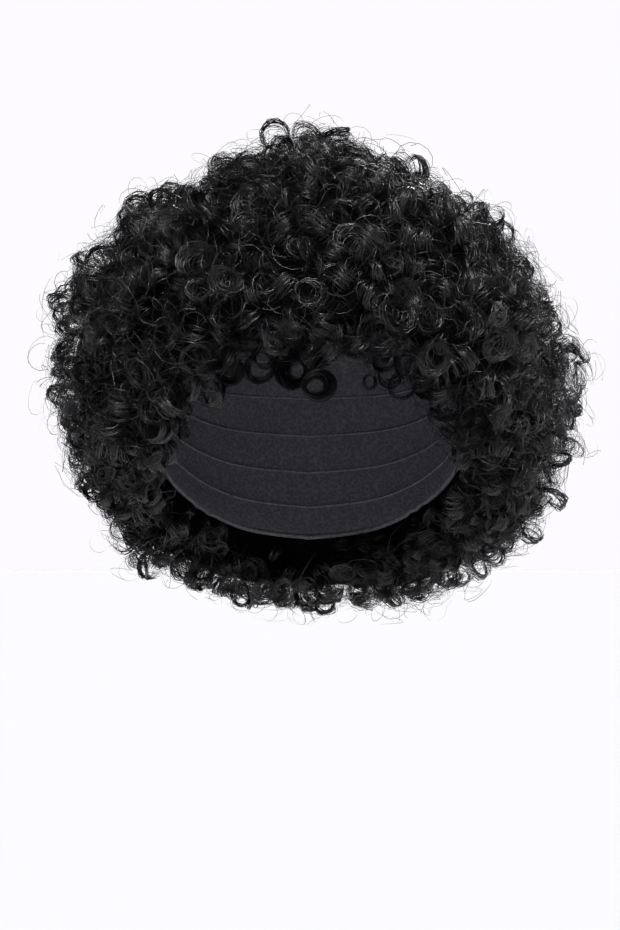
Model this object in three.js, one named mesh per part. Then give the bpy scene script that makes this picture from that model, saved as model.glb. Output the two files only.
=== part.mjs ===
// Short curly wig: a close-fitting cap that carries a deep coat of black ringlets, open at the face and neck.
// Millimetres, +Z up. The wearer faces -Y, and +X is the wearer's left.
// The origin is the inside top of the cap, where it bears on the crown of the head.
import * as THREE from "three";
import { mergeVertices } from "three/addons/utils/BufferGeometryUtils.js";

// Hollow of the cap, an ellipsoid with its top at the origin. It is about 550 mm round, an average head size.
const HOLLOW = { halfWidth: 76, halfLength: 97, halfHeight: 95 };
const HOLLOW_CENTRE = new THREE.Vector3(0, 0, -HOLLOW.halfHeight);

// Stretch cap that the hair is sewn to. Its mesh is a square patch, rounded over the head.
const CAP = { wall: 1.6, steps: 20 };

// Clearances: hair off the cap, and one piece of the hair off the next.
const HAIR_OFF_CAP = 0.7;
const PIECE_GAP = 0.6;

// Within this angle of its lower edge the hair rounds in towards the hollow.
const HEM_ROUND_DEG = 24;

// Curls gather in clusters, which stand out as soft lumps all over the hair.
const CLUSTERS = { count: 96, spreadDeg: 15, rise: 9, fullDepth: 34 };

// Edges of the cap and of the hair. Azimuth runs from the middle of the forehead to the middle of the nape, and
// polar angles run down from the top. hemDepth is how deep the hair still is at its lower edge.
const EDGES = [
  { place: "forehead", azimuth: 0, capPolar: 60, hairPolar: 75, hemDepth: 12 },
  { place: "brow", azimuth: 20, capPolar: 62, hairPolar: 77, hemDepth: 13 },
  { place: "temple", azimuth: 42, capPolar: 72, hairPolar: 92, hemDepth: 14 },
  { place: "cheek", azimuth: 58, capPolar: 88, hairPolar: 108, hemDepth: 15 },
  { place: "ear tab", azimuth: 76, capPolar: 104, hairPolar: 119, hemDepth: 16 },
  { place: "ear", azimuth: 96, capPolar: 101, hairPolar: 123, hemDepth: 18 },
  { place: "behind ear", azimuth: 122, capPolar: 116, hairPolar: 131, hemDepth: 20 },
  { place: "nape side", azimuth: 150, capPolar: 126, hairPolar: 140, hemDepth: 21 },
  { place: "nape", azimuth: 180, capPolar: 129, hairPolar: 143, hemDepth: 22 },
];

// How far the hair stands off the cap, down the front, the sides and the back.
const DEPTHS = [
  { polar: 0, front: 27, side: 27, back: 27 },
  { polar: 30, front: 30, side: 28, back: 33 },
  { polar: 50, front: 33, side: 36, back: 41 },
  { polar: 80, front: 31, side: 40, back: 44 },
  { polar: 110, front: 30, side: 40, back: 43 },
  { polar: 140, front: 30, side: 38, back: 40 },
];

// Tufts and dents that show in the outline, beyond the even clusters.
const TUFTS = [
  { place: "tuft beside the right temple", azimuth: -88, polar: 62, spread: 9, rise: 9 },
  { place: "dent above that tuft", azimuth: -88, polar: 49, spread: 8, rise: -8 },
  { place: "tuft on the right of the crown", azimuth: -92, polar: 37, spread: 8, rise: 4 },
  { place: "tuft on top", azimuth: -60, polar: 6, spread: 9, rise: 4 },
  { place: "tuft on the left of the crown", azimuth: 90, polar: 40, spread: 8, rise: 4 },
  { place: "tuft over the left ear", azimuth: 92, polar: 88, spread: 11, rise: 4 },
  { place: "flat over the right ear", azimuth: -90, polar: 95, spread: 20, rise: -6 },
  { place: "flat below the right ear", azimuth: -90, polar: 118, spread: 12, rise: -5 },
];

// Pieces of the hair coat. The crown is a round patch, and the rest lie below it, between two azimuths.
// A piece starts at the crown's edge or at topPolar, and ends at the hair's lower edge or at endPolar.
const CROWN = { name: "crown_curls", polar: 44, steps: 18 };
const COAT = [
  { name: "fringe_curls", from: -50, to: 50, around: 20, down: 8 },
  { name: "side_curls_left", from: 50, to: 120, around: 14, down: 14 },
  { name: "side_curls_right", from: -120, to: -50, around: 14, down: 14 },
  { name: "back_curls", from: 120, to: 240, around: 22, down: 10, endPolar: 98 },
  { name: "nape_curls", from: 120, to: 240, around: 22, down: 6, topPolar: 98 },
];
const HAIR_DEPTH_STEPS = 2;

// Ringlets that hang clear of the fringe over the forehead. Each leaves the fringe's lower edge at an azimuth
// and at a depth, as a share of the way from its inside to its outside. It drops by a stem and turns once about
// an axis that points forward. loop and lock are radii: of the loop, and of the lock of hair that makes it.
const RINGLETS = [
  { azimuth: -19, depth: 0.5, stem: 1.5, loop: 5.4, lock: 1.1, turns: 1.05, side: -1 },
  { azimuth: -11.6, depth: 0.5, stem: 3.5, loop: 5.6, lock: 1.1, turns: 1.0, side: 1 },
  { azimuth: -4.2, depth: 0.25, stem: 5.0, loop: 5.4, lock: 1.5, turns: 1.05, side: -1 },
  { azimuth: 2.0, depth: 0.85, stem: 12.5, loop: 5.2, lock: 1.9, turns: 1.1, side: 1 },
  { azimuth: 13.8, depth: 0.5, stem: 12.0, loop: 2.7, lock: 0.8, turns: 1.05, side: 1 },
];
const RINGLET_PITCH = 2.6; // how far a ringlet winds forward in a turn, in lock radii
const RINGLET_STEPS = 26;
const RINGLET_SIDES_HALF = 3; // half the number of sides of a ringlet's section
const LOOP_POINTS = 12; // points of a ringlet's centre line in each turn

const HAIR_BLACK = new THREE.MeshStandardMaterial({ color: 0x0c0c0e, roughness: 0.42, metalness: 0 });
const CAP_BLACK = new THREE.MeshStandardMaterial({ color: 0x111113, roughness: 0.85, metalness: 0 });

const radians = THREE.MathUtils.degToRad;
const degrees = THREE.MathUtils.radToDeg;
const { clamp, lerp } = THREE.MathUtils;

// A column of a table at any place along its key, on a smooth curve through the rows.
function along(table, key, at, column) {
  const last = table.length - 1;
  const place = clamp(at, table[0][key], table[last][key]);
  const low = Math.min(last - 1, table.findLastIndex((row) => row[key] <= place));
  const span = table[low + 1][key] - table[low][key];
  const t = (place - table[low][key]) / span;
  const slope = (n) => {
    const before = table[Math.max(n - 1, 0)];
    const after = table[Math.min(n + 1, last)];
    return (after[column] - before[column]) / (after[key] - before[key]);
  };
  const [start, end] = [table[low][column], table[low + 1][column]];
  const [leave, arrive] = [slope(low) * span, slope(low + 1) * span];
  const bend = (2 * t - 3) * t * t;
  return start * (bend + 1) - end * bend + leave * t * (1 - t) ** 2 - arrive * t * t * (1 - t);
}

// Both sides are alike, so an edge is read by its azimuth from the front, 0 to 180 degrees.
function edge(azimuth, column) {
  const turned = Math.abs(THREE.MathUtils.euclideanModulo(azimuth + 180, 360) - 180);
  return along(EDGES, "azimuth", turned, column);
}

// Unit vector from the middle of the hollow, by azimuth from the front towards +X and by polar angle.
function direction(azimuth, polar) {
  const [a, p] = [radians(azimuth), radians(polar)];
  return new THREE.Vector3(Math.sin(p) * Math.sin(a), -Math.sin(p) * Math.cos(a), Math.cos(p));
}

function hollowRadius(azimuth, polar) {
  const d = direction(azimuth, polar);
  return 1 / Math.hypot(d.x / HOLLOW.halfWidth, d.y / HOLLOW.halfLength, d.z / HOLLOW.halfHeight);
}

function capRadius(azimuth, polar) {
  return hollowRadius(azimuth, polar) + CAP.wall;
}

// Inside of the hair, which runs on smoothly below the cap.
function hairInnerRadius(azimuth, polar) {
  return capRadius(azimuth, polar) + HAIR_OFF_CAP;
}

// Cluster centres, spread evenly over a sphere on a golden spiral.
const GOLDEN_ANGLE = Math.PI * (3 - Math.sqrt(5));
const clusterCentres = Array.from({ length: CLUSTERS.count }, (_, i) => {
  const height = 1 - (2 * i + 1) / CLUSTERS.count;
  const across = Math.sqrt(1 - height * height);
  return new THREE.Vector3(across * Math.cos(i * GOLDEN_ANGLE), across * Math.sin(i * GOLDEN_ANGLE), height);
});

// Height of the nearest cluster's rounded top over the creases between clusters.
function clusterRise(azimuth, polar) {
  const d = direction(azimuth, polar);
  const nearest = Math.min(...clusterCentres.map((centre) => centre.angleTo(d)));
  return CLUSTERS.rise * (0.5 - Math.min(1, nearest / radians(CLUSTERS.spreadDeg)) ** 2);
}

function tuftRise(azimuth, polar) {
  const d = direction(azimuth, polar);
  const rises = TUFTS.map((tuft) => {
    const away = degrees(d.angleTo(direction(tuft.azimuth, tuft.polar)));
    return tuft.rise * Math.exp(-((away / tuft.spread) ** 2));
  });
  return rises.reduce((sum, rise) => sum + rise, 0);
}

// Outside of the hair: the depths blended around, rounded in at the lower edge, with clusters and tufts.
function hairOuterRadius(azimuth, polar) {
  const facing = Math.cos(radians(azimuth));
  const weights = { front: Math.max(0, facing) ** 2, back: Math.max(0, -facing) ** 2 };
  weights.side = 1 - weights.front - weights.back;
  const sum = (total, column) => total + weights[column] * along(DEPTHS, "polar", polar, column);
  const full = Object.keys(weights).reduce(sum, 0);
  const past = clamp(1 - (edge(azimuth, "hairPolar") - polar) / HEM_ROUND_DEG, 0, 1);
  const hem = edge(azimuth, "hemDepth");
  const depth = hem + (full - hem) * Math.sqrt(1 - past * past);
  const lumps = clusterRise(azimuth, polar) + tuftRise(azimuth, polar);
  return hairInnerRadius(azimuth, polar) + depth + lumps * Math.min(1, depth / CLUSTERS.fullDepth);
}

// A point of a shell, share 0 on its inside and 1 on its outside.
function shellPoint(azimuth, polar, inside, outside, share) {
  const radius = lerp(inside(azimuth, polar), outside(azimuth, polar), share);
  return direction(azimuth, polar).multiplyScalar(radius).add(HOLLOW_CENTRE);
}

// A closed solid made by moving every vertex of a finely divided block: place turns block coordinates from -0.5
// to 0.5 into a point of the solid.
function mouldedBlock(steps, place) {
  const block = new THREE.BoxGeometry(1, 1, 1, ...steps);
  const position = block.getAttribute("position");
  for (let i = 0; i < position.count; i += 1) {
    const at = place(position.getX(i), position.getY(i), position.getZ(i));
    position.setXYZ(i, at.x, at.y, at.z);
  }
  block.deleteAttribute("normal");
  block.deleteAttribute("uv");
  const joined = mergeVertices(block);
  joined.computeVertexNormals();
  return joined;
}

// Azimuth and share of the radius of a point of a square patch that is rounded to a disc, so it has no pole.
function discPlace(x, y) {
  const [u, v] = [2 * x, 2 * y];
  const [left, back] = [u * Math.sqrt(1 - (v * v) / 2), v * Math.sqrt(1 - (u * u) / 2)];
  return { azimuth: degrees(Math.atan2(left, -back)), share: Math.min(1, Math.hypot(left, back)) };
}

// Gap as an angle at the hair's inside, where neighbouring pieces come nearest.
const gapDegrees = degrees(PIECE_GAP / 2 / HOLLOW.halfWidth);

function cap() {
  return mouldedBlock([CAP.steps, CAP.steps, 1], (x, y, z) => {
    const { azimuth, share } = discPlace(x, y);
    return shellPoint(azimuth, share * edge(azimuth, "capPolar"), hollowRadius, capRadius, z + 0.5);
  });
}

function crownCurls() {
  return mouldedBlock([CROWN.steps, CROWN.steps, HAIR_DEPTH_STEPS], (x, y, z) => {
    const { azimuth, share } = discPlace(x, y);
    const polar = share * (CROWN.polar - gapDegrees);
    return shellPoint(azimuth, polar, hairInnerRadius, hairOuterRadius, z + 0.5);
  });
}

function coatCurls(piece) {
  const top = (piece.topPolar ?? CROWN.polar) + gapDegrees;
  return mouldedBlock([piece.around, piece.down, HAIR_DEPTH_STEPS], (x, y, z) => {
    const azimuth = lerp(piece.from, piece.to, x + 0.5) - 2 * x * gapDegrees;
    const end = piece.endPolar ? piece.endPolar - gapDegrees : edge(azimuth, "hairPolar");
    return shellPoint(azimuth, lerp(top, end, 0.5 - y), hairInnerRadius, hairOuterRadius, z + 0.5);
  });
}

// Centre line of a ringlet: out of the fringe's lower edge, down its stem and round its loop, which winds
// forward by a little over the lock's thickness for each turn.
function ringletLine(row) {
  const polar = edge(row.azimuth, "hairPolar");
  const seat = shellPoint(row.azimuth, polar, hairInnerRadius, hairOuterRadius, row.depth);
  const sideways = direction(row.azimuth + 90, 90);
  const forward = direction(row.azimuth, 90);
  const down = direction(row.azimuth, polar + 90);
  const start = seat.clone().addScaledVector(down, PIECE_GAP);
  const loopTop = start.clone().addScaledVector(down, row.stem + row.lock);
  const points = [start, start.clone().lerp(loopTop, 0.5)];
  const middle = loopTop.clone().addScaledVector(down, row.loop);
  const pitch = RINGLET_PITCH * row.lock;
  const count = Math.round(row.turns * LOOP_POINTS);
  for (let i = 1; i <= count; i += 1) {
    const turn = i / LOOP_POINTS;
    const angle = 2 * Math.PI * turn;
    points.push(
      middle
        .clone()
        .addScaledVector(sideways, row.side * row.loop * Math.sin(angle))
        .addScaledVector(down, -row.loop * Math.cos(angle))
        .addScaledVector(forward, pitch * turn),
    );
  }
  return new THREE.CatmullRomCurve3(points);
}

function ringlet(row) {
  const section = new THREE.Shape();
  section.absarc(0, 0, row.lock, 0, 2 * Math.PI);
  return new THREE.ExtrudeGeometry(section, {
    steps: RINGLET_STEPS,
    curveSegments: RINGLET_SIDES_HALF,
    extrudePath: ringletLine(row),
  });
}

function named(name, geometry, material) {
  const mesh = new THREE.Mesh(geometry, material);
  mesh.name = name;
  return mesh;
}

const coat = new THREE.Group();
coat.add(named(CROWN.name, crownCurls(), HAIR_BLACK));
for (const piece of COAT) coat.add(named(piece.name, coatCurls(piece), HAIR_BLACK));

const foreheadRinglets = new THREE.Group();
RINGLETS.forEach((row, i) => {
  foreheadRinglets.add(named(`forehead_ringlet_${i + 1}`, ringlet(row), HAIR_BLACK));
});

const wig = new THREE.Group();
wig.add(named("cap", cap(), CAP_BLACK), coat, foreheadRinglets);

export default wig;
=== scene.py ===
# Short curly wig in its worn shape, in metres: +Z up, the front towards -Y, and +X the wearer's left.
import math

import bmesh
import bpy
import numpy as np
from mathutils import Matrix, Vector
from mathutils.bvhtree import BVHTree


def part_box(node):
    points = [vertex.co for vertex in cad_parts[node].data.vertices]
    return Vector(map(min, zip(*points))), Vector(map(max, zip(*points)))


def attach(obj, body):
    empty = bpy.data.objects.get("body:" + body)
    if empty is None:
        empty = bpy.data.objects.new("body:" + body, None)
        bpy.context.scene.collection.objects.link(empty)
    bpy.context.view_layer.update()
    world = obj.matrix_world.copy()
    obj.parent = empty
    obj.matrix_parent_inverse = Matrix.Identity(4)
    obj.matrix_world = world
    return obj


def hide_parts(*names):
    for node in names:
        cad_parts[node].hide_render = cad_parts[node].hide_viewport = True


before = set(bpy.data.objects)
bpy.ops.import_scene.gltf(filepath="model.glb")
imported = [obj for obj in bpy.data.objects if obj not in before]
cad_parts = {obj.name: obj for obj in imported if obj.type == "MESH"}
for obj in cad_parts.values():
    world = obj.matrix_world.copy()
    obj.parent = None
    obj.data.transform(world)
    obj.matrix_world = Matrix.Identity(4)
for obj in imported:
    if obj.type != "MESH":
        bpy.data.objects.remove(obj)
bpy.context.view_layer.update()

# Cap: a stretch net base of black polyester, cut to the hairline and the nape, to which the hair is sewn.
# Its edge is bound with a soft elastic cord. Inside it, the sewn rows show as thin raised tracks.
TURN = 2 * math.pi
UP = Vector((0, 0, 1))
HOLLOW_HALF = Vector((0.076, 0.097, 0.095))
HOLLOW_CENTRE = Vector((0, 0, -HOLLOW_HALF.z))
RIM_FACING = 0.5  # the rim's faces look out of the hollow, or into it, by less than this
BINDING_RADIUS = 0.0011
BINDING_STEPS = 3  # in the rounding of the cord
TRACK_RADIUS = 0.0006
TRACK_STEPS = 1
TRACK_POINTS = 72
TRACK_SHARES = np.linspace(0.2, 0.92, 9)  # of the way from the top to the edge
NET_HOLE = 0.0016  # coarser than in a real net, so that it shows
NET_BUMP = 0.0003
CAP_BLACK = "#3c3c41"
CAP_THREAD = "#5a5a61"
STITCH = 0.0014
STITCH_BUMP = 0.0003
STITCH_THREAD = "#707078"
STITCH_GAP = "#46464d"


def linear(colour):
    """An sRGB hex colour as linear RGBA."""
    channels = [int(colour[i : i + 2], 16) / 255 for i in (1, 3, 5)]
    return [c / 12.92 if c <= 0.04045 else ((c + 0.055) / 1.055) ** 2.4 for c in channels] + [1.0]


def add_node(tree, kind, inputs=(), **settings):
    """Adds a node. Each input is a socket's name or number with a value, or with an output to link.

    A colour mix takes its share at 0 and its colours at 6 and 7, and gives output 2.
    """
    made = tree.nodes.new(kind)
    for key, value in settings.items():
        setattr(made, key, value)
    for key, value in dict(inputs).items():
        if isinstance(value, bpy.types.NodeSocket):
            tree.links.new(value, made.inputs[key])
        else:
            made.inputs[key].default_value = value
    return made


def new_material(name):
    """A material with an empty node tree."""
    material = bpy.data.materials.new(name)
    material.use_nodes = True
    material.node_tree.nodes.clear()
    return material


def merged_copy(node_name):
    """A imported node's shape with its loose triangles merged into quads."""
    shape = bmesh.new()
    shape.from_mesh(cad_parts[node_name].data)
    bmesh.ops.remove_doubles(shape, verts=shape.verts, dist=1e-6)
    bmesh.ops.join_triangles(
        shape,
        faces=shape.faces,
        angle_face_threshold=math.radians(50),
        angle_shape_threshold=math.radians(70),
    )
    shape.normal_update()
    return shape


def outward(point):
    """Direction straight out of the hollow's ellipsoid at a point."""
    offset = Vector(point) - HOLLOW_CENTRE
    return Vector(c / h**2 for c, h in zip(offset, HOLLOW_HALF)).normalized()


def direction(azimuth, polar):
    """Unit vector by azimuth from the front towards +X and by polar angle from the top."""
    across = math.sin(polar)
    return Vector((across * math.sin(azimuth), -across * math.cos(azimuth), math.cos(polar)))


def azimuth_of(point):
    """Azimuth of a point, as direction takes it."""
    return math.atan2(point[0], -point[1])


def on_hollow(azimuth, polar, rise):
    """A point at a height over the hollow's ellipsoid."""
    way = direction(azimuth, polar)
    radius = 1 / math.sqrt(sum((c / h) ** 2 for c, h in zip(way, HOLLOW_HALF)))
    return HOLLOW_CENTRE + way * (radius + rise)


def add_cord(shape, points, radius, steps):
    """Adds a closed cord along points to a bmesh, rounded in steps."""
    curve = bpy.data.curves.new("cord", "CURVE")
    curve.dimensions = "3D"
    curve.bevel_depth = radius
    curve.bevel_resolution = steps
    spline = curve.splines.new("POLY")
    spline.points.add(len(points) - 1)
    for place, point in zip(spline.points, points):
        place.co = (*point, 1)
    spline.use_cyclic_u = True
    carrier = bpy.data.objects.new("cord", curve)
    shape.from_mesh(carrier.to_mesh())
    carrier.to_mesh_clear()
    bpy.data.objects.remove(carrier)
    bpy.data.curves.remove(curve)


def new_piece(name, mesh, material):
    """An object of the wig: smooth, with its material, on the one body."""
    piece = bpy.data.objects.new(name, mesh)
    bpy.context.scene.collection.objects.link(piece)
    mesh.polygons.foreach_set("use_smooth", np.ones(len(mesh.polygons), bool))
    mesh.materials.clear()
    mesh.materials.append(material)
    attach(piece, "root")
    return piece


def round_off(piece):
    """Rounds a piece with one step of subdivision."""
    smoothing = piece.modifiers.new("round", "SUBSURF")
    smoothing.levels = 1
    smoothing.render_levels = 1


cap_shape = merged_copy("cap")
rim_faces = set()
for face in cap_shape.faces:
    if abs(face.normal.dot(outward(face.calc_center_median()))) < RIM_FACING:
        rim_faces.add(face)
rim_crossings = [edge for edge in cap_shape.edges if len(rim_faces.intersection(edge.link_faces)) == 2]
rim = sorted(((edge.verts[0].co + edge.verts[1].co) / 2 for edge in rim_crossings), key=azimuth_of)
rim_azimuths = np.array([azimuth_of(point) for point in rim])
rim_polars = np.array([(point - HOLLOW_CENTRE).angle(UP) for point in rim])
cap_mesh = bpy.data.meshes.new("cap_net")
cap_shape.to_mesh(cap_mesh)

cap_tracks = bmesh.new()
add_cord(cap_tracks, rim, BINDING_RADIUS, BINDING_STEPS)
track_azimuths = np.linspace(-math.pi, math.pi, TRACK_POINTS, endpoint=False)
for share in TRACK_SHARES:
    track_polars = share * np.interp(track_azimuths, rim_azimuths, rim_polars, period=TURN)
    track = [on_hollow(a, p, -2 * TRACK_RADIUS) for a, p in zip(track_azimuths, track_polars)]
    add_cord(cap_tracks, track, TRACK_RADIUS, TRACK_STEPS)
tracks_mesh = bpy.data.meshes.new("cap_binding_and_tracks")
cap_tracks.to_mesh(tracks_mesh)

# Matt black polyester net: small holes between fine threads, which show as a grain that takes little light.
net = new_material("black stretch net")
coords = add_node(net.node_tree, "ShaderNodeTexCoord")
holes = add_node(
    net.node_tree,
    "ShaderNodeTexVoronoi",
    {"Vector": coords.outputs["Object"], "Scale": 1 / NET_HOLE},
)
net_tint = add_node(
    net.node_tree,
    "ShaderNodeMix",
    {0: holes.outputs["Distance"], 6: linear(CAP_BLACK), 7: linear(CAP_THREAD)},
    data_type="RGBA",
)
net_bump = add_node(
    net.node_tree,
    "ShaderNodeBump",
    {"Height": holes.outputs["Distance"], "Distance": NET_BUMP},
)
net_shader = add_node(
    net.node_tree,
    "ShaderNodeBsdfPrincipled",
    {
        "Base Color": net_tint.outputs[2],
        "Roughness": 0.85,
        "Specular IOR Level": 0.25,
        "Normal": net_bump.outputs[0],
    },
)
add_node(net.node_tree, "ShaderNodeOutputMaterial", {"Surface": net_shader.outputs[0]})
cap = new_piece("cap_net", cap_mesh, net)
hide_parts("cap")
round_off(cap)

# Sewn elastic: close stitching over the edge and the rows, proud of the net and a little lighter.
# Each stitch is a small rounded bump with a darker gap around it.
stitched = new_material("black stitched elastic")
coords = add_node(stitched.node_tree, "ShaderNodeTexCoord")
stitches = add_node(
    stitched.node_tree,
    "ShaderNodeTexVoronoi",
    {"Vector": coords.outputs["Object"], "Scale": 1 / STITCH},
)
stitch_tint = add_node(
    stitched.node_tree,
    "ShaderNodeMix",
    {0: stitches.outputs["Distance"], 6: linear(STITCH_THREAD), 7: linear(STITCH_GAP)},
    data_type="RGBA",
)
stitch_bump = add_node(
    stitched.node_tree,
    "ShaderNodeBump",
    {"Height": stitches.outputs["Distance"], "Distance": STITCH_BUMP},
    invert=True,
)
stitched_shader = add_node(
    stitched.node_tree,
    "ShaderNodeBsdfPrincipled",
    {
        "Base Color": stitch_tint.outputs[2],
        "Roughness": 0.7,
        "Specular IOR Level": 0.3,
        "Normal": stitch_bump.outputs[0],
    },
)
add_node(stitched.node_tree, "ShaderNodeOutputMaterial", {"Surface": stitched_shader.outputs[0]})
new_piece("cap_binding_and_tracks", tracks_mesh, stitched)

# Under-hair: the dense crimped hair next to the cap, which closes the depths between the ringlets.
# It is the same black fibre as the curls, sewn to the cap in close rows, but coloured darker than them as
# painted shade of the hair's depths. Each piece here is its hair solid with the outside drawn in, so that it
# stays dark under the curls.
HAIR_NODES = [
    "back_curls",
    "nape_curls",
    "side_curls_left",
    "side_curls_right",
    "crown_curls",
    "fringe_curls",
]
HAIR_DEPTH = 0.030  # of the whole coat, about
UNDER_START = 0.0032  # over the hollow, where the hair begins
UNDER_DEPTH_SHARE = 0.68  # of the hair's depth
HEM_LIFT = 0.006  # how far the lower edge is drawn up
INSIDE_LIFT = 0.006  # least depth where no cap covers the inside
# painted shade: both colours are darker than the curls' fibre, for the hair's depths
UNDER_PAINTED_SHADE_DARK = "#010101"
UNDER_PAINTED_SHADE_PALE = "#08080a"
CLUMP = 0.004
BARE_GAP = 0.0015  # a face is bare if no other solid is nearer than this in front of it
EDGE_FACING = 0.35  # faces that look out of the coat, or into it, by less than this are an edge
SAME_PLACE = 1e-5
TUFT_LIFT = 0.0034
TUFT_SIZE = 0.030
TUFT_RANGE = (-0.0020, 0.0045)
TUFT_WAVES = 7
WAVES_TOGETHER = 2  # about the usual height of the waves' sum
WAVE_PARTS = 1.7  # a wave has parts along three axes, each about this much smaller than the whole
# single tufts that stand out of the outline, and hollows where it lies in: middle, reach and lift (m)
TUFTS = [
    {"at": (-0.108, 0.015, -0.028), "reach": 0.024, "lift": 0.009},
    {"at": (-0.085, 0.015, -0.004), "reach": 0.022, "lift": 0.006},
    {"at": (-0.110, -0.015, -0.128), "reach": 0.022, "lift": -0.010},
    {"at": (-0.110, 0.015, -0.128), "reach": 0.022, "lift": -0.010},
    {"at": (-0.110, 0.045, -0.128), "reach": 0.022, "lift": -0.010},
    {"at": (-0.117, 0.015, -0.085), "reach": 0.022, "lift": -0.003},
    {"at": (0.118, 0.015, -0.070), "reach": 0.034, "lift": 0.006},
    {"at": (-0.048, 0.000, 0.020), "reach": 0.022, "lift": -0.008},
    {"at": (0.052, 0.000, 0.020), "reach": 0.022, "lift": -0.009},
    {"at": (0.080, 0.025, -0.165), "reach": 0.030, "lift": 0.011},
    {"at": (0.060, 0.060, -0.180), "reach": 0.028, "lift": 0.010},
]

# Black hair fibre with painted shade: darker than the curls' fibre, nearly black all over, with soft clumps
# that take very little light.
under = new_material("black hair darkened as painted shade")
coords = add_node(under.node_tree, "ShaderNodeTexCoord")
clumps = add_node(
    under.node_tree,
    "ShaderNodeTexNoise",
    {"Vector": coords.outputs["Object"], "Scale": 1 / CLUMP, "Detail": 4.0, "Distortion": 1.5},
)
clump_and_shade_tint = add_node(
    under.node_tree,
    "ShaderNodeMix",
    {0: clumps.outputs[0], 6: linear(UNDER_PAINTED_SHADE_DARK), 7: linear(UNDER_PAINTED_SHADE_PALE)},
    data_type="RGBA",
)
under_shader = add_node(
    under.node_tree,
    "ShaderNodeBsdfPrincipled",
    {"Base Color": clump_and_shade_tint.outputs[2], "Roughness": 0.8, "Specular IOR Level": 0.03},
)
add_node(under.node_tree, "ShaderNodeOutputMaterial", {"Surface": under_shader.outputs[0]})

rng = np.random.default_rng(41)
tuft_waves = rng.normal(0, TURN / TUFT_SIZE / WAVE_PARTS, (TUFT_WAVES, 3))
tuft_phases = rng.random(TUFT_WAVES) * TURN


def tuft_height(point):
    """How far the curls at a place stand out of the coat, or sink back into it, together."""
    wave = TUFT_LIFT * np.sin(tuft_waves @ point + tuft_phases).sum() / WAVES_TOGETHER
    tufts = sum(t["lift"] * math.exp(-((math.dist(point, t["at"]) / t["reach"]) ** 2)) for t in TUFTS)
    return np.clip(wave, *TUFT_RANGE) + tufts


class Faces:
    """A packed hair node's triangles, sorted into outside, lower edge and bare inside."""

    def __init__(self, node_name):
        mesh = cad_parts[node_name].data
        mesh.calc_loop_triangles()
        self.corners = np.array([[mesh.vertices[i].co for i in t.vertices] for t in mesh.loop_triangles])
        self.normals = np.array([t.normal for t in mesh.loop_triangles])
        self.areas = np.array([t.area for t in mesh.loop_triangles])
        middles = self.corners.mean(1)
        facing = (self.normals * np.array([outward(middle) for middle in middles])).sum(1)
        ahead = [Vector(place) for place in middles + self.normals * BARE_GAP]
        bare = np.ones(len(middles), bool)
        for other_name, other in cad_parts.items():
            if other_name == node_name or "ringlet" in other_name:
                continue
            places = [vertex.co for vertex in other.data.vertices]
            tree = BVHTree.FromPolygons(places, [polygon.vertices for polygon in other.data.polygons])
            bare &= np.array([tree.find_nearest(place)[3] for place in ahead]) > BARE_GAP
        self.outside = facing > EDGE_FACING
        self.edge = bare & (np.abs(facing) <= EDGE_FACING)
        self.inside = bare & (facing < -EDGE_FACING)


def among(corners, place):
    """True if one of the corners is at a place."""
    return np.linalg.norm(corners - place, axis=1).min(initial=1) < SAME_PLACE


hair_faces = {name: Faces(name) for name in HAIR_NODES}
for name in HAIR_NODES:
    shape = merged_copy(name)
    faces = hair_faces[name]
    hem_corners = faces.corners[faces.edge].reshape(-1, 3)
    inside_corners = faces.corners[faces.inside].reshape(-1, 3)
    for vertex in shape.verts:
        place = np.array(vertex.co)
        offset = vertex.co - HOLLOW_CENTRE
        azimuth = azimuth_of(offset)
        polar = offset.angle(UP)
        start = (on_hollow(azimuth, polar, UNDER_START) - HOLLOW_CENTRE).length
        depth = (offset.length - start) * (UNDER_DEPTH_SHARE + tuft_height(place) / HAIR_DEPTH)
        if among(inside_corners, place):
            depth = max(depth, INSIDE_LIFT)
        vertex.co = HOLLOW_CENTRE + offset.normalized() * (start + depth)
        if among(hem_corners, place):
            vertex.co -= direction(azimuth, polar + math.pi / 2) * HEM_LIFT
    mesh = bpy.data.meshes.new(name.replace("curls", "under_hair"))
    shape.to_mesh(mesh)
    shape.free()
    round_off(new_piece(mesh.name, mesh, under))

# Curls: locks of black modacrylic fibre, set by heat on small rods into ringlets of many loose strands, and
# sewn to the cap row over row. Some show as swirls, some as coils and some as open loops. A strand here
# stands for a few real ones, which are too fine to show one by one.
SEGMENTS_IN_A_TURN = 10
LEAST_SEGMENTS = 5
# share of the locks, lean of the axis off the normal and spread of its heading off the level (rad), ring
# radius (m), turns, rise in a turn (m), how far strands lie inside the ring, spread along the axis of
# bundles and of strands (m), tilt of the bundles, spread of the start angle and roll of the strands (rad),
# strands and their width beside the others', how much further than the others it stands out of the coat (m)
STYLES = [
    # swirls, which point out of the coat
    {"share": 0.38, "lean": (0.1, 0.75), "heading": 1.1, "radius": (0.0066, 0.0098), "turns": (0.9, 1.25),
     "pitch": 0.0030, "deep": 0.52, "band": 0.0011, "fine": 0.0005, "tilt": 0.16, "swing": 3.0,
     "roll": 0.8, "strands": 31, "width": 1.0, "stand": 0.0},
    # coils, which lie along it
    {"share": 0.38, "lean": (1.0, 1.55), "heading": 1.1, "radius": (0.0056, 0.0080), "turns": (0.6, 0.9),
     "pitch": 0.0030, "deep": 0.30, "band": 0.0022, "fine": 0.0012, "tilt": 0.16, "swing": 0.35,
     "roll": 0.0, "strands": 34, "width": 1.0, "stand": 0.0},
    # open loops, which stand off it
    {"share": 0.24, "lean": (1.1, 1.55), "heading": 0.45, "radius": (0.0060, 0.0088), "turns": (0.95, 1.2),
     "pitch": 0.0014, "deep": 0.19, "band": 0.0007, "fine": 0.0004, "tilt": 0.25, "swing": 0.6,
     "roll": 0.5, "strands": 26, "width": 1.25, "stand": 0.004},
]
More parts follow.
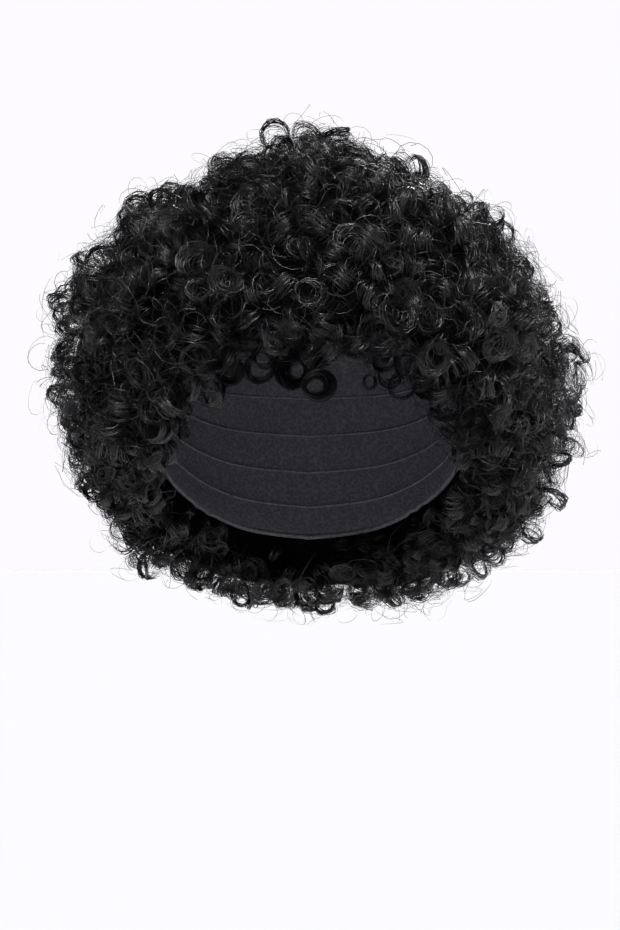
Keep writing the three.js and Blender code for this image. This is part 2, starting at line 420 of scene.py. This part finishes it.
# how far the bundles of a lock, and the strands in a bundle, differ from each other
BUNDLES = 6
LOCK_SPREAD = {
    "inside": (0.62, 0.25),  # in shares of the style's deep
    "heavy": (0.7, 0.15),  # side that the inner strands are drawn to (rad)
    "length": (0.12, 0.09),  # in shares of the lock's turns
    "start": (0.25, 0.10),  # rad
    "spiral": (0.09, 0.025),  # how much wider the ring is at its start than in its middle
    "roll": (0.35, 0.25),  # rad
}
NUDGE = 1e-4  # gives a ring an upper side where its axis is the normal
INSIDE_MOST = 0.85
INSIDE_SUNK = 0.5  # how far strands sink along the axis, as a share of how far they lie inside the ring
INSIDE_DRAWN = 0.75  # how far they are drawn to the heavy side, as a share of the same
USUAL_LENGTH = 0.95
LENGTH_RANGE = (0.6, 1.2)
USUAL_SPIRAL = 0.05
SQUASH = (0.75, 1.0)
TILT_FINE = 0.04
STRAND_HALF = (0.00010, 0.00022)
STRAND_STRAY = 0.0005
STRAY_SHARES = (0.4, 1.6)
STRAY_WAVES = (0.7, 2.2)  # in a turn
STRAY_FINE = 1.0
ROOT_TAPER = (5, 0.35)  # how fast a strand widens from its end, and its least width
TIP_TAPER = (3.5, 0.2)
# spacing of the locks (m), size of their rings, and how far those at the lower edge hang past it (m)
ZONES = [
    {"node": "back_curls", "spacing": 0.0116, "size": 1.0, "hang": (-0.001, 0.004)},
    {"node": "nape_curls", "spacing": 0.0116, "size": 0.92, "hang": (0.000, 0.008)},
    {"node": "side_curls_left", "spacing": 0.0112, "size": 0.9, "hang": (-0.001, 0.006)},
    {"node": "side_curls_right", "spacing": 0.0112, "size": 0.9, "hang": (-0.001, 0.006)},
    {"node": "crown_curls", "spacing": 0.0110, "size": 1.03, "hang": (-0.001, 0.004)},
    {"node": "fringe_curls", "spacing": 0.0108, "size": 0.98, "hang": (0.001, 0.0090)},
]
TRIES = 3.2  # spots are tried this much closer together than locks may be
PARTED_POLAR = 0.55  # hair nearer to the top than this (rad) falls to the sides
TOP_LIFT = (-0.0035, 0.0030)  # how far the outer curls reach past the coat's outside
DEEP_LIFT = (-0.0065, -0.0025)  # the same for the curls that fill in under them
DEEP_STRANDS = 0.40
HEM_SPACING = 0.85
HEM_SIZE = 0.85
HEM_FILL_LIFT = (-0.006, -0.001)  # the same for the curls behind those at the lower edge
HEM_FILL_TUFT = 0.5
HEM_FILL_SCATTER = 0.003
HEM_FILL_STRANDS = 0.75
INSIDE_CURL_LIFT = (-0.003, 0.000)  # the same for the curls where no cap covers the inside
INSIDE_CURL_SIZE = 0.8
INSIDE_CURL_STRANDS = 0.5
# frizz: single hairs that have sprung out of the locks and lie across them
FRIZZ = {
    "spacing": 0.0043,
    "lift": (-0.0060, 0.0030),
    "radius": (0.0040, 0.0120),
    "turns": (0.4, 0.9),
    "swing": 2.0,
    "half": (0.00006, 0.00012),
    "stray": 0.0005,
    "steps": 8,
}
HAIR_LEAN = 0.9
HAIR_SPIRAL = 0.2
HAIR_RISE = 0.004
HAIR_WAVES = (3, 9)  # rad along a hair
HAIR_TAPER = (3.5, 0.3)
HAIR_ROLL = 1.4
ROUNDNESS = 0.5  # how far the normals lean out at a flat strand's sides, so that light takes it for round
CELL_SHAPE = 10  # a strand's cell on the map is about this many times as long as wide
CELL_START = 0.05
CELL_LENGTH = 0.9
CELL_SIDES = (0.9, 0.1, 0.1, 0.9)
LOCK_TONE = 0.4  # share of a strand's tone that its lock gives it
HAIR_SHINE = 0.58
HAIR_ROUGHNESS = (0.44, 0.28)
HAIR_DARK = "#020203"
HAIR_LIGHT = "#111114"


def unit(vectors):
    """Vectors at length 1."""
    return vectors / np.linalg.norm(vectors, axis=-1, keepdims=True)


def tapered(share, rate, least):
    """Width of a strand at a share of its length from an end."""
    return np.clip(share * rate, least, 1)


def sprinkled(faces, chosen, spacing):
    """Random points on the chosen faces, about one for each square of spacing, with the faces' normals."""
    areas = faces.areas[chosen]
    count = int(areas.sum() / spacing**2)
    if not count:
        return np.zeros((0, 3)), np.zeros((0, 3))
    pick = rng.choice(len(areas), count, p=areas / areas.sum())
    first, second = rng.random((2, count, 1))
    fold = first + second > 1
    first = np.where(fold, 1 - first, first)
    second = np.where(fold, 1 - second, second)
    corners = faces.corners[chosen][pick]
    sides = corners[:, 1:] - corners[:, :1]
    points = corners[:, 0] + first * sides[:, 0] + second * sides[:, 1]
    return points, faces.normals[chosen][pick]


def spaced(faces, chosen, spacing):
    """Random points on the chosen faces, none nearer to another than spacing, with the faces' normals."""
    points, normals = sprinkled(faces, chosen, spacing / TRIES)
    kept = []
    for i, point in enumerate(points):
        if not kept or np.linalg.norm(points[kept] - point, axis=1).min() > spacing:
            kept.append(i)
    return points[kept], normals[kept]


def spread(bundle, wide, fine):
    """A number for each strand: most of it shared by the strand's bundle, a little its own."""
    return (rng.normal(0, wide, BUNDLES)[bundle] + rng.normal(0, fine, len(bundle)))[:, None]


def strand_sides(points, out, half_width, roll):
    """Half-width vectors of flat strands that lie with their faces towards out, rolled by an angle."""
    tangent = unit(np.gradient(points, axis=1))
    out = unit(out - (out * tangent).sum(-1, keepdims=True) * tangent)
    side = np.cross(out, tangent)
    side = np.cos(roll)[:, None, None] * side + np.sin(roll)[:, None, None] * out
    return side * half_width[..., None]


def ringlet(centre, axis, normal, radius, turns, style, count):
    """Strands of one ringlet, as their points and half-width vectors."""
    axis = unit(axis)
    up = unit(normal - (normal @ axis) * axis + NUDGE * rng.normal(size=3))
    across = np.cross(axis, up)
    steps = max(LEAST_SEGMENTS, round(turns * SEGMENTS_IN_A_TURN)) + 1
    along = np.linspace(0, 1, steps)[None, :]
    bundle = rng.integers(0, BUNDLES, count)
    inside_wide, inside_fine = (share * style["deep"] for share in LOCK_SPREAD["inside"])
    inside = np.clip(np.abs(spread(bundle, inside_wide, inside_fine)), 0, INSIDE_MOST)
    heavy = rng.random() * TURN + spread(bundle, *LOCK_SPREAD["heavy"])
    way = rng.choice([-1, 1])
    length = turns * np.clip(USUAL_LENGTH + spread(bundle, *LOCK_SPREAD["length"]), *LENGTH_RANGE)
    start = rng.normal(0, style["swing"]) + spread(bundle, *LOCK_SPREAD["start"])
    angle = start + way * TURN * length * (along - 0.5)
    spiral = 1 + (USUAL_SPIRAL + spread(bundle, *LOCK_SPREAD["spiral"])) * (1 - 2 * along)
    reach = radius * (1 - inside) * spiral
    squash = rng.uniform(*SQUASH)
    rise = style["pitch"] * turns * (along - 1) + spread(bundle, style["band"], style["fine"])
    rise = rise - inside * radius * INSIDE_SUNK
    drawn = INSIDE_DRAWN * inside * radius
    x = reach * np.cos(angle) + drawn * np.cos(heavy)
    y = squash * reach * np.sin(angle) + drawn * np.sin(heavy)
    rise = rise + spread(bundle, style["tilt"], TILT_FINE) * x
    rise = rise + spread(bundle, style["tilt"], TILT_FINE) * y
    wave = (rng.random((BUNDLES, 3)) * TURN)[bundle] + rng.normal(0, STRAY_FINE, (count, 3))
    speed = rng.uniform(*STRAY_WAVES, (BUNDLES, 3))[bundle] * turns * TURN
    stray = STRAND_STRAY * rng.uniform(*STRAY_SHARES, (count, 1, 1))
    wobble = stray * np.sin(speed[:, None] * along[..., None] + wave[:, None])
    out = np.cos(angle)[..., None] * up + np.sin(angle)[..., None] * across
    points = centre + axis * rise[..., None] + up * x[..., None] + across * y[..., None] + wobble
    taper = tapered(along, *ROOT_TAPER) * tapered(1 - along, *TIP_TAPER)
    half_width = style["width"] * rng.uniform(*STRAND_HALF, (count, 1)) * taper
    roll = style["roll"] * way + spread(bundle, *LOCK_SPREAD["roll"])[:, 0]
    return points, strand_sides(points, out, half_width, roll)


def strands_mesh(name, batches, shade_factor=1.0):
    """One mesh of many flat tapered strands, with a tone and a cell on the map for each."""
    total = sum(len(points) for points, _ in batches)
    columns = max(1, round(math.sqrt(total / CELL_SHAPE)))
    rows = math.ceil(total / columns)
    places, normals, quads, uvs, tones = [], [], [], [], []
    first_vertex = 0
    first_strand = 0
    for points, side in batches:
        count, steps = points.shape[:2]
        places.append(np.stack([points - side, points + side], 2).reshape(-1, 3))
        face = unit(np.cross(np.gradient(points, axis=1), side))
        bulge = ROUNDNESS * unit(side)
        normals.append(np.stack([face - bulge, face + bulge], 2).reshape(-1, 3))
        pair = first_vertex + 2 * (np.arange(count)[:, None] * steps + np.arange(steps - 1)[None, :])
        quads.append(np.stack([pair + 1, pair, pair + 2, pair + 3], -1).reshape(-1, 4))
        cell = first_strand + np.arange(count)
        column = (cell % columns)[:, None, None]
        row = (cell // columns)[:, None, None]
        share = CELL_START + CELL_LENGTH * np.arange(steps) / (steps - 1)
        us = (np.stack([share[:-1], share[:-1], share[1:], share[1:]], -1)[None] + column) / columns
        vs = (np.array(CELL_SIDES) + row) / rows
        uvs.append(np.stack([us, np.broadcast_to(vs, us.shape)], -1).reshape(-1))
        tone = LOCK_TONE * rng.random() + (1 - LOCK_TONE) * rng.random(count)
        # a factor below 1 darkens the strands' tones as painted shade
        tones.append(np.repeat(shade_factor * tone, 2 * steps))
        first_vertex += 2 * steps * count
        first_strand += count
    mesh = bpy.data.meshes.new(name)
    mesh.from_pydata(np.concatenate(places), [], np.concatenate(quads).tolist())
    cells = mesh.uv_layers.new(name="OFBake")
    cells.data.foreach_set("uv", np.concatenate(uvs).astype(np.float32))
    tone_of_strand = mesh.attributes.new("tone", "FLOAT", "POINT")
    tone_of_strand.data.foreach_set("value", np.concatenate(tones).astype(np.float32))
    mesh.update()
    mesh.normals_split_custom_set_from_vertices(unit(np.concatenate(normals)).tolist())
    return mesh


def hair_material(name, shine):
    """Black fibre whose strands differ a little in tone and in how sharp their line of light is."""
    fibre = new_material(name)
    tone = add_node(fibre.node_tree, "ShaderNodeAttribute", attribute_name="tone")
    tint = add_node(
        fibre.node_tree,
        "ShaderNodeMix",
        {0: tone.outputs["Fac"], 6: linear(HAIR_DARK), 7: linear(HAIR_LIGHT)},
        data_type="RGBA",
    )
    roughness = add_node(
        fibre.node_tree,
        "ShaderNodeMapRange",
        {"Value": tone.outputs["Fac"], "To Min": HAIR_ROUGHNESS[0], "To Max": HAIR_ROUGHNESS[1]},
    )
    shader = add_node(
        fibre.node_tree,
        "ShaderNodeBsdfPrincipled",
        {"Base Color": tint.outputs[2], "Roughness": roughness.outputs[0], "Specular IOR Level": shine},
    )
    add_node(fibre.node_tree, "ShaderNodeOutputMaterial", {"Surface": shader.outputs[0]})
    return fibre


# Black modacrylic hair fibre: smooth and round, so each strand carries a thin line of light along its bend.
hair = hair_material("black modacrylic hair", HAIR_SHINE)


def down_the_coat(point):
    """Unit direction in which the hair falls at a point: to the sides on top, and down elsewhere."""
    offset = Vector(point) - HOLLOW_CENTRE
    polar = offset.angle(UP)
    azimuth = azimuth_of(offset) if polar > PARTED_POLAR else math.copysign(math.pi / 2, offset.x)
    return np.array(direction(azimuth, polar + math.pi / 2))


def one_curl(point, normal, size, lift, fullness=1.0):
    """A ringlet of a random style whose outermost point stands at lift over the coat."""
    style = STYLES[rng.choice(len(STYLES), p=[s["share"] for s in STYLES])]
    down = down_the_coat(point)
    down = unit(down - normal * (down @ normal))
    level = np.cross(normal, down)
    heading = rng.normal(0, style["heading"])
    lean = rng.uniform(*style["lean"])
    along_coat = math.cos(heading) * level + math.sin(heading) * down
    axis = math.cos(lean) * normal + math.sin(lean) * along_coat
    radius = rng.uniform(*style["radius"]) * size
    upright = math.sqrt(max(0.0, 1 - (axis @ normal) ** 2))
    centre = point + normal * (lift + style["stand"] - radius * upright)
    turns = rng.uniform(*style["turns"])
    return ringlet(centre, axis, normal, radius, turns, style, round(style["strands"] * fullness))


def single_hairs(spots, lifts, kind):
    """Fine hairs in open arcs, one at each spot, whose outermost points stand at lifts over the coat."""
    points, normals = spots
    count = len(points)
    axis = unit(normals + HAIR_LEAN * rng.normal(size=(count, 3)))
    cosine = (axis * normals).sum(1, keepdims=True)
    up = unit(normals - cosine * axis)
    across = np.cross(axis, up)
    radius = rng.uniform(*kind["radius"], (count, 1))
    centre = points + normals * (lifts - radius * np.sqrt(1 - np.minimum(cosine**2, 1)))
    along = np.linspace(0, 1, kind["steps"])[None, :]
    length = rng.uniform(*kind["turns"], (count, 1))
    angle = rng.normal(0, kind["swing"], (count, 1)) + TURN * length * (along - 0.5)
    reach = (radius * (1 + rng.normal(0, HAIR_SPIRAL, (count, 1)) * (1 - 2 * along)))[..., None]
    rise = (rng.normal(0, HAIR_RISE, (count, 1)) * (along - 0.5))[..., None]
    out = np.cos(angle)[..., None] * up[:, None] + np.sin(angle)[..., None] * across[:, None]
    wave = rng.random((count, 1, 3)) * TURN + rng.uniform(*HAIR_WAVES, (count, 1, 3)) * along[..., None]
    hairs = centre[:, None] + out * reach + axis[:, None] * rise + kind["stray"] * np.sin(wave)
    half_width = rng.uniform(*kind["half"], (count, 1)) * tapered(1 - along, *HAIR_TAPER)
    roll = rng.uniform(-HAIR_ROLL, HAIR_ROLL, count)
    return hairs, strand_sides(hairs, out, half_width, roll)


def tuft_heights(points):
    """Tuft heights of many points, as a column."""
    return np.array([[tuft_height(point)] for point in points])


for zone in ZONES:
    faces = hair_faces[zone["node"]]
    spacing = zone["spacing"]
    size = zone["size"]
    batches = []
    for point, normal in zip(*spaced(faces, faces.outside, spacing)):
        lift = rng.uniform(*TOP_LIFT) + tuft_height(point)
        batches.append(one_curl(point, unit(normal + np.array(outward(point))), size, lift))
    for point, normal in zip(*spaced(faces, faces.outside, spacing)):
        lift = rng.uniform(*DEEP_LIFT) + tuft_height(point)
        batches.append(one_curl(point, normal, size, lift, DEEP_STRANDS))
    for point, normal in zip(*spaced(faces, faces.edge, spacing * HEM_SPACING)):
        lift = rng.uniform(*zone["hang"]) + tuft_height(point)
        batches.append(one_curl(point, normal, size * HEM_SIZE, lift))
        lift = rng.uniform(*HEM_FILL_LIFT) + HEM_FILL_TUFT * tuft_height(point)
        behind = point + rng.normal(0, HEM_FILL_SCATTER, 3)
        batches.append(one_curl(behind, normal, size * HEM_SIZE, lift, HEM_FILL_STRANDS))
    for point, normal in zip(*spaced(faces, faces.inside, spacing)):
        lift = rng.uniform(*INSIDE_CURL_LIFT)
        batches.append(one_curl(point, normal, size * INSIDE_CURL_SIZE, lift, INSIDE_CURL_STRANDS))
    spots = sprinkled(faces, faces.outside | faces.edge, FRIZZ["spacing"])
    lifts = rng.uniform(*FRIZZ["lift"], (len(spots[0]), 1)) + tuft_heights(spots[0])
    batches.append(single_hairs(spots, lifts, FRIZZ))
    mesh = strands_mesh(zone["node"] + "_ringlets", batches)
    piece = new_piece(mesh.name, mesh, hair)
    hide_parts(zone["node"])

# Forehead ringlets: single locks of the same fibre that hang clear of the fringe, each an open ring.
# They are sewn in with the fringe. Their strands come down out of it, run round the ring and gather on one
# side of it.
RING_STEPS = 17
STEM_STEPS = 7
# seen from the front: way round, how far across the stem starts (in ring radii), where it joins the ring and
# the side that strands are drawn to (degrees, +X is 0 and up is 90), how far strands lie inside the ring,
# turns, strands
FOREHEAD = [
    {"node": "forehead_ringlet_1", "way": 1, "foot": -0.7, "joins": 175, "drawn": 95,
     "deep": 0.45, "turns": 0.62, "strands": 110},
    {"node": "forehead_ringlet_2", "way": 1, "foot": -0.4, "joins": 165, "drawn": 75,
     "deep": 0.22, "turns": 0.75, "strands": 50},
    {"node": "forehead_ringlet_3", "way": 1, "foot": 0.5, "joins": 130, "drawn": 30,
     "deep": 0.50, "turns": 0.95, "strands": 150},
    {"node": "forehead_ringlet_4", "way": 1, "foot": 0.35, "joins": 150, "drawn": 190,
     "deep": 0.42, "turns": 1.05, "strands": 210},
    {"node": "forehead_ringlet_5", "way": -1, "foot": -0.5, "joins": 40, "drawn": 100,
     "deep": 0.25, "turns": 0.95, "strands": 34},
]
# how far the bundles of a ringlet, and the strands in a bundle, differ from each other
RING_SPREAD = {
    "drawn": (0.25, 0.12),  # rad
    "start": (0.18, 0.12),  # rad
    "turns": (0.10, 0.15),  # in shares of the ringlet's turns
    "tall": (0.05, 0.02),
    "depth": (0.0007, 0.0004),
    "foot": (0.0014, 0.0006),
    "bow": (0.0015, 0.0004),
    "roll": (0.5, 0.4),  # rad
}
RING_TURNS = (0.6, 1.35)  # least and most, in shares of the ringlet's turns
RING_DRAWN = 0.85
RING_DEPTH = 0.0032
RING_LEAN = 0.17  # spread of the slopes at which the bundles lie to the ring
RING_STRAY = 0.0003
RING_WAVE = 9  # rad along a strand
RING_ROLL = 0.45
STEM_SHARE = 0.4  # of the strands, which rise into the fringe
STEM_IN_FRINGE = 0.010
STEM_BOW = 0.4  # in ring radii
STEM_BEND = 1.5
STEM_BACK = 0.008  # how far behind the ring the stem starts
RINGLET_HALF = (0.00010, 0.00022)
RINGLET_TAPER = (5, 0.25)
# painted shade: scales the ringlets' strand tones down
RINGLET_PAINTED_SHADE = 0.3
# painted shade: less sheen than the coat's fibre
PAINTED_SHADE_SHINE = 0.15
lean_rng = np.random.default_rng(5)

# A darker copy of the same fibre with less sheen, as painted shade: it keeps these thin locks blacker than
# the coat that they hang from.
shaded_dull_hair = hair_material("black modacrylic hair dulled as painted shade", PAINTED_SHADE_SHINE)

for ring in FOREHEAD:
    low, high = (np.array(corner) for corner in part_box(ring["node"]))
    outer = (high[0] - low[0]) / 2
    middle = np.array([(low[0] + high[0]) / 2, (low[1] + high[1]) / 2, low[2] + outer])
    out = unit(np.array([middle[0], middle[1], 0.0]))
    across = np.array([-out[1], out[0], 0.0])
    count = ring["strands"]
    bundle = rng.integers(0, BUNDLES, count)

    inside = rng.random((count, 1)) * ring["deep"]
    radius = outer * (1.0 - inside)
    drawn = math.radians(ring["drawn"]) + spread(bundle, *RING_SPREAD["drawn"])
    shift = RING_DRAWN * (outer - radius)
    start = math.radians(ring["joins"]) + spread(bundle, *RING_SPREAD["start"])
    turns = ring["turns"] * np.clip(1 + spread(bundle, *RING_SPREAD["turns"]), *RING_TURNS)
    ring_share = np.linspace(0, 1, RING_STEPS)[None, :]
    angle = start + ring["way"] * TURN * turns * ring_share
    tall = 1 + spread(bundle, *RING_SPREAD["tall"])
    ring_x = shift * np.cos(drawn) + radius * np.cos(angle) / tall
    ring_z = shift * np.sin(drawn) + radius * np.sin(angle) * tall
    lean_across, lean_up = lean_rng.normal(0, RING_LEAN, (2, BUNDLES, 1))[:, bundle]
    ring_depth = (ring_share - 0.5) * RING_DEPTH + spread(bundle, *RING_SPREAD["depth"])
    ring_depth = ring_depth + lean_across * ring_x + lean_up * ring_z

    top = high[2] - middle[2] + STEM_IN_FRINGE
    lead = np.linspace(0, 1, STEM_STEPS)[None, :-1]
    foot = outer * ring["foot"] + spread(bundle, *RING_SPREAD["foot"])
    bow = outer * STEM_BOW * ring["way"] + spread(bundle, *RING_SPREAD["bow"])
    stem_x = foot + (ring_x[:, :1] - foot) * lead**STEM_BEND + bow * np.sin(math.pi * lead)
    stem_z = top + (ring_z[:, :1] - top) * lead
    stem_depth = ring_depth[:, :1] - (1 - lead) * STEM_BACK

    x = np.concatenate([stem_x, ring_x], 1)[..., None]
    z = np.concatenate([stem_z, ring_z], 1)[..., None]
    depth = np.concatenate([stem_depth, ring_depth], 1)[..., None]
    points = middle + x * across + z * np.array(UP) + depth * out
    along = np.linspace(0, 1, points.shape[1])[None, :]
    wave = rng.random((count, 1, 3)) * TURN + RING_WAVE * along[..., None]
    points = points + RING_STRAY * np.sin(wave)
    half_width = rng.uniform(*RINGLET_HALF, (count, 1)) * tapered(1 - along, *RINGLET_TAPER)
    roll = RING_ROLL + spread(bundle, *RING_SPREAD["roll"])[:, 0]
    side = strand_sides(points, unit(points - middle), half_width, roll)
    stemmed = round(count * STEM_SHARE)
    batches = [
        (points[:stemmed], side[:stemmed]),
        (points[stemmed:, STEM_STEPS - 1 :], side[stemmed:, STEM_STEPS - 1 :]),
    ]
    mesh = strands_mesh(ring["node"] + "_lock", batches, RINGLET_PAINTED_SHADE)
    piece = new_piece(mesh.name, mesh, shaded_dull_hair)
    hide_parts(ring["node"])

# Fringe wisps: thin locks and fine single hairs of the same fibre that hang below the fringe and cross the
# ringlets' stems. They are sewn in with the fringe, and have worked loose from its curls.
WISP_LOCK_SPACING = 0.0070
WISP_LOCK_SIZE = 0.8
WISP_LOCK_LIFT = (0.002, 0.008)
WISP_LOCK_STRANDS = 0.6
WISP = {
    "spacing": 0.0028,
    "lift": (0.002, 0.012),
    "radius": (0.005, 0.010),
    "turns": (0.5, 1.0),
    "swing": 0.6,
    "half": (0.00005, 0.00009),
    "stray": 0.0004,
    "steps": 8,
}
# painted shade: scales the wisps' strand tones down
WISP_PAINTED_SHADE = 0.3
fringe = hair_faces["fringe_curls"]
wisps = []
for point, normal in zip(*spaced(fringe, fringe.edge, WISP_LOCK_SPACING)):
    lift = rng.uniform(*WISP_LOCK_LIFT)
    wisps.append(one_curl(point, normal, WISP_LOCK_SIZE, lift, WISP_LOCK_STRANDS))
spots = sprinkled(fringe, fringe.edge, WISP["spacing"])
lifts = rng.uniform(*WISP["lift"], (len(spots[0]), 1))
wisps.append(single_hairs(spots, lifts, WISP))
new_piece("fringe_wisps", strands_mesh("fringe_wisps", wisps, WISP_PAINTED_SHADE), shaded_dull_hair)

# Flyaway hairs: single fine hairs of the same fibre, which show as thin open arcs around the outline.
# They are sewn in with the locks that they have sprung from.
FLYAWAY = {
    "spacing": 0.0088,
    "lift": (0.001, 0.0105),
    "radius": (0.004, 0.009),
    "turns": (0.6, 1.1),
    "swing": 0.6,
    "half": (0.00007, 0.00012),
    "stray": 0.0002,
    "steps": 12,
}
flyaway = []
for zone in ZONES:
    faces = hair_faces[zone["node"]]
    spots = sprinkled(faces, faces.outside | faces.edge, FLYAWAY["spacing"])
    lowest, highest = FLYAWAY["lift"]
    lifts = lowest + (highest - lowest) * rng.random((len(spots[0]), 1)) ** 2 + tuft_heights(spots[0])
    flyaway.append(single_hairs(spots, lifts, FLYAWAY))
new_piece("flyaway_hairs", strands_mesh("flyaway_hairs", flyaway), hair)

# Stage: a pale paper floor and a pale surround, soft studio light from above, in front and behind, and a
# level camera. The surround is seen but sheds no light, so the black hair keeps its depth.
FLOOR_HEIGHT = -0.60
FLOOR_PALE = "#cecdd0"
SURROUND_RADIUS = 8.0
STAGE_WHITE = "#fdfbff"
AMBIENT_WHITE = "#f4f4fa"
AMBIENT_STRENGTH = 0.12
# where each soft light comes from, its angular size in degrees and its strength
LIGHTS = [
    {"name": "key", "from": (0.30, -1.0, 1.15), "spread": 18, "strength": 3.9},
    {"name": "front fill", "from": (0.0, -1.0, 0.18), "spread": 20, "strength": 0.3},
    {"name": "top light", "from": (0.0, -0.2, 1.0), "spread": 25, "strength": 0.7},
    {"name": "back light", "from": (0.15, 1.0, 0.5), "spread": 25, "strength": 2.3},
]
IMAGE_HEIGHT_PX = 930
MM_PER_PX = 0.47  # at the middle of the wig
CAMERA_DISTANCE = 0.9
CAMERA_HEIGHT = -0.119

# Matt pale paper: no shine, so the floor meets the surround without an edge.
paper = new_material("pale paper floor")
paper_shader = add_node(
    paper.node_tree,
    "ShaderNodeBsdfPrincipled",
    {"Base Color": linear(FLOOR_PALE), "Roughness": 0.9, "Specular IOR Level": 0.0},
)
add_node(paper.node_tree, "ShaderNodeOutputMaterial", {"Surface": paper_shader.outputs[0]})
floor_shape = bmesh.new()
bmesh.ops.create_circle(floor_shape, cap_ends=True, segments=64, radius=SURROUND_RADIUS)
bmesh.ops.translate(floor_shape, verts=floor_shape.verts, vec=(0, 0, FLOOR_HEIGHT))
floor_mesh = bpy.data.meshes.new("floor")
floor_shape.to_mesh(floor_mesh)
floor_mesh.materials.append(paper)
floor = bpy.data.objects.new("floor", floor_mesh)
bpy.context.scene.collection.objects.link(floor)

# Lit white wall: one even white all round, with no shade of its own.
glow = new_material("lit white studio wall")
glow_shader = add_node(
    glow.node_tree,
    "ShaderNodeEmission",
    {"Color": linear(STAGE_WHITE), "Strength": 1.0},
)
add_node(glow.node_tree, "ShaderNodeOutputMaterial", {"Surface": glow_shader.outputs[0]})
surround_shape = bmesh.new()
bmesh.ops.create_uvsphere(surround_shape, u_segments=48, v_segments=24, radius=SURROUND_RADIUS)
bmesh.ops.reverse_faces(surround_shape, faces=surround_shape.faces)
surround_mesh = bpy.data.meshes.new("surround")
surround_shape.to_mesh(surround_mesh)
surround_mesh.materials.append(glow)
surround = bpy.data.objects.new("surround", surround_mesh)
surround.visible_diffuse = False
surround.visible_glossy = False
surround.visible_transmission = False
surround.visible_shadow = False
bpy.context.scene.collection.objects.link(surround)

world = bpy.data.worlds.new("dim studio")
bpy.context.scene.world = world
world.use_nodes = True
world.node_tree.nodes.clear()
ambient = add_node(
    world.node_tree,
    "ShaderNodeBackground",
    {"Color": linear(AMBIENT_WHITE), "Strength": AMBIENT_STRENGTH},
)
add_node(world.node_tree, "ShaderNodeOutputWorld", {"Surface": ambient.outputs[0]})

for row in LIGHTS:
    lamp = bpy.data.lights.new(row["name"], "SUN")
    lamp.energy = row["strength"]
    lamp.angle = math.radians(row["spread"])
    light = bpy.data.objects.new(row["name"], lamp)
    light.location = row["from"]
    light.rotation_mode = "QUATERNION"
    light.rotation_quaternion = (-Vector(row["from"])).to_track_quat("-Z", "Y")
    bpy.context.scene.collection.objects.link(light)

camera_data = bpy.data.cameras.new("camera")
camera_data.lens = camera_data.sensor_width * CAMERA_DISTANCE / (IMAGE_HEIGHT_PX * MM_PER_PX / 1000)
camera = bpy.data.objects.new("camera", camera_data)
camera.location = (0, -CAMERA_DISTANCE, CAMERA_HEIGHT)
camera.rotation_euler = (math.pi / 2, 0, 0)
bpy.context.scene.collection.objects.link(camera)
bpy.context.scene.camera = camera
bpy.context.scene.view_settings.view_transform = "Standard"
